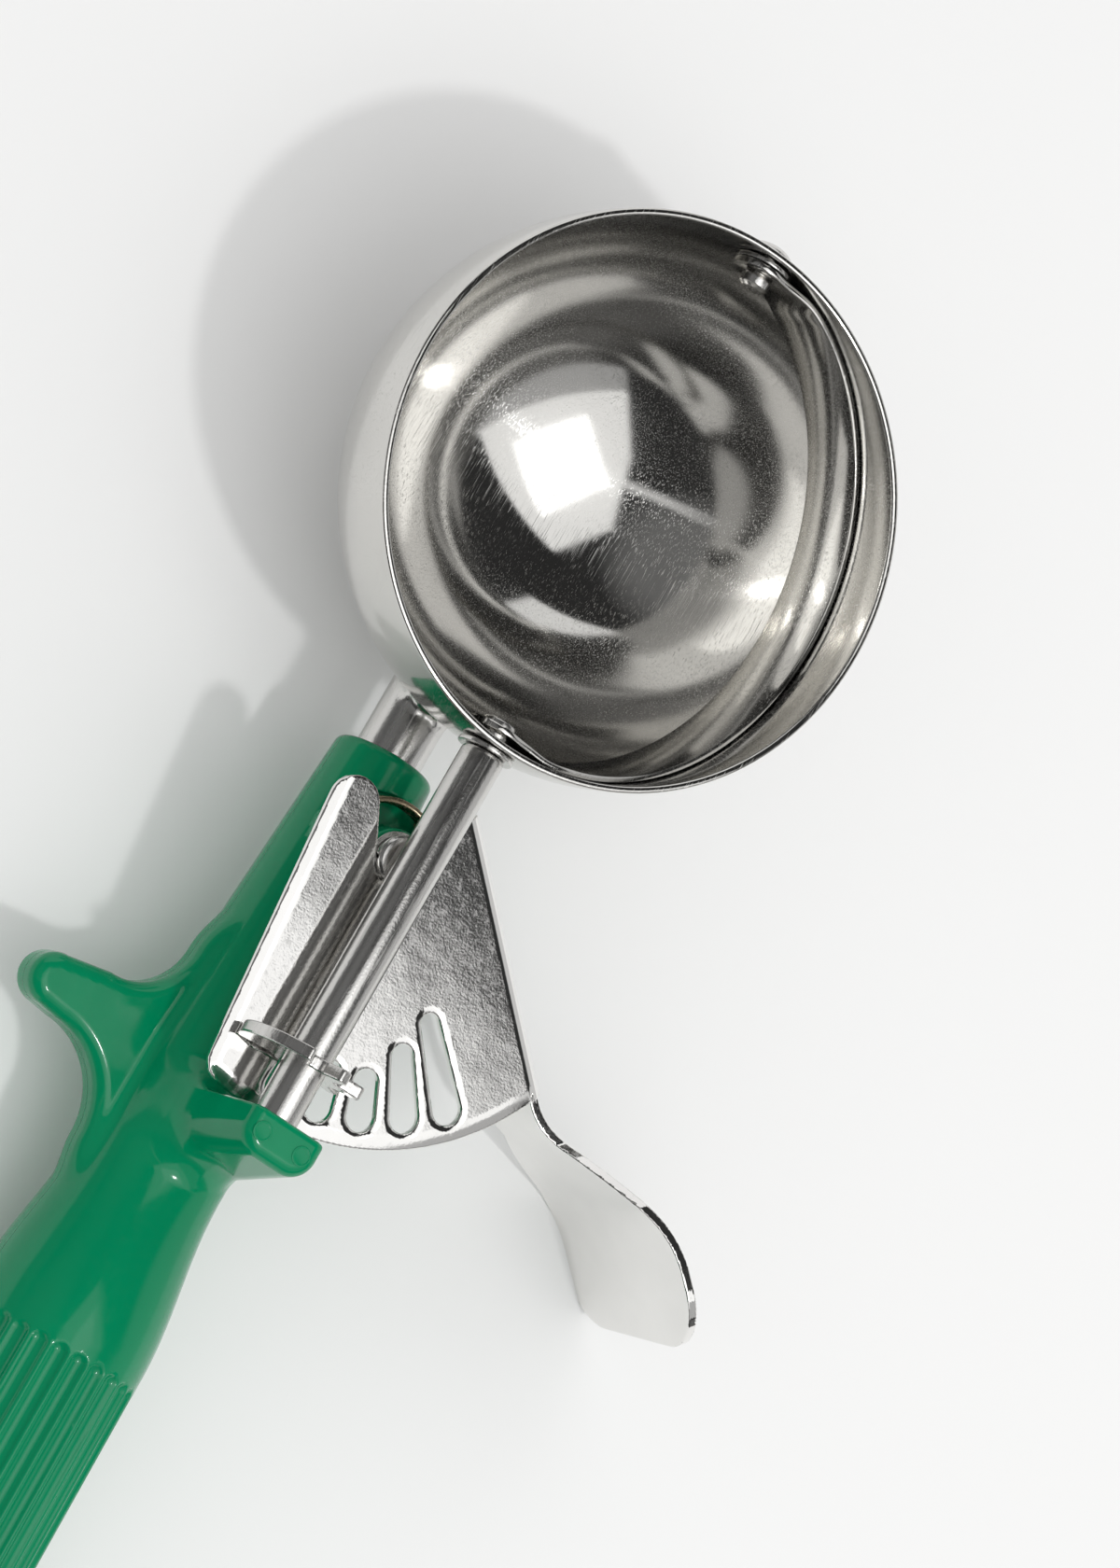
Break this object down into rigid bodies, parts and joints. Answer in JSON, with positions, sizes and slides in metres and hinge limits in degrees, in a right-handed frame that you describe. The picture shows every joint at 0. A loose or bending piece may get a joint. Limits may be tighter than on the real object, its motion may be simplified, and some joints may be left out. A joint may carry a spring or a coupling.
{
  "type": "lever ice cream scoop",
  "caption": "Ice cream scoop with a fluted handle and a thumb lever whose slotted gear plate turns a pinion and sweeps a blade round the inside of the bowl.",
  "frame": {"origin": "centre of the flat on the handle's butt, on the handle's axis", "axes": "+X along the handle to the bowl, +Z out of the bowl's mouth, the thumb lever on the -Y side"},
  "size_m": [0.2201, 0.0931, 0.0402],
  "materials": {
    "bowl_steel": "polished stainless steel with fine circular brushing",
    "lever_steel": "bright polished sheet steel with a fine orange-peel grain",
    "pin_steel": "turned steel with fine tool marks",
    "spring_wire": "drawn spring wire, oxidised brown",
    "green_plastic": "glossy moulded plastic"
  },
  "bodies": {
    "frame": {"handle": "green_plastic", "bowl": "bowl_steel", "bowl_rod": "pin_steel", "rod_weld": "pin_steel", "front_pin": "pin_steel", "front_washer": "pin_steel", "rear_washer": "pin_steel", "pivot_pin": "pin_steel", "pivot_washer": "pin_steel", "return_spring": "spring_wire"},
    "lever": {"thumb_lever": "lever_steel"},
    "wiper": {"wiper_blade": "bowl_steel", "wiper_shaft": "pin_steel", "pinion": "pin_steel"}
  },
  "joints": [
    {"name": "lever_pivot", "type": "hinge", "parent": "frame", "child": "lever", "pos_m": [0.13835, -0.0017, 0.01345], "axis": [0, 0, -1], "range_deg": [0, 30.5], "stiffness_Nm_per_rad": 0.6, "springref_deg": -28.65, "deforming": ["return_spring"]},
    {"name": "wiper_spin", "type": "hinge", "parent": "frame", "child": "wiper", "pos_m": [0.186, -0.0017, 0.0184], "axis": [1, 0, 0], "range_deg": [0, 146]}
  ],
  "couplings": [
    {"joint": "wiper_spin", "follows": "lever_pivot", "ratio": 4.7841}
  ]
}
